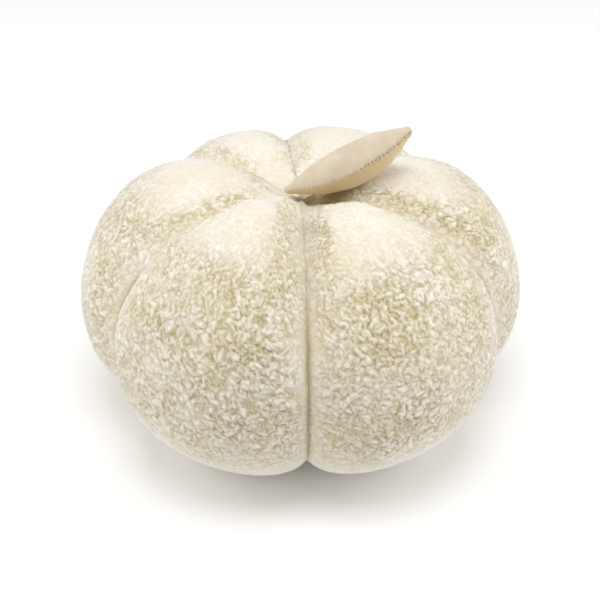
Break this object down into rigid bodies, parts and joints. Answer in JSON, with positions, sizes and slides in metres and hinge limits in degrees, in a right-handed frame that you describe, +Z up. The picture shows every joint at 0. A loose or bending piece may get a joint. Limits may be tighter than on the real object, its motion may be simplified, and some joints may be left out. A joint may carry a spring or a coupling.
{
  "type": "pumpkin cushion",
  "caption": "Plump round cushion shaped like a pumpkin, with deep sewn grooves between swelling lobes and a stuffed velvet stem leaning out of its top dimple.",
  "frame": {"origin": "on the surface that the cushion stands on, under the middle of its outline", "axes": "+Z up, -Y towards the front seam, +X to the right, the side that the stem leans to"},
  "size_m": [0.4018, 0.3814, 0.2776],
  "materials": {
    "pile_cloth": "cream curly pile, matt",
    "stem_velvet": "beige short velvet, matt"
  },
  "bodies": {
    "root": {"cushion_body": "pile_cloth", "stem": "stem_velvet"}
  },
  "joints": []
}
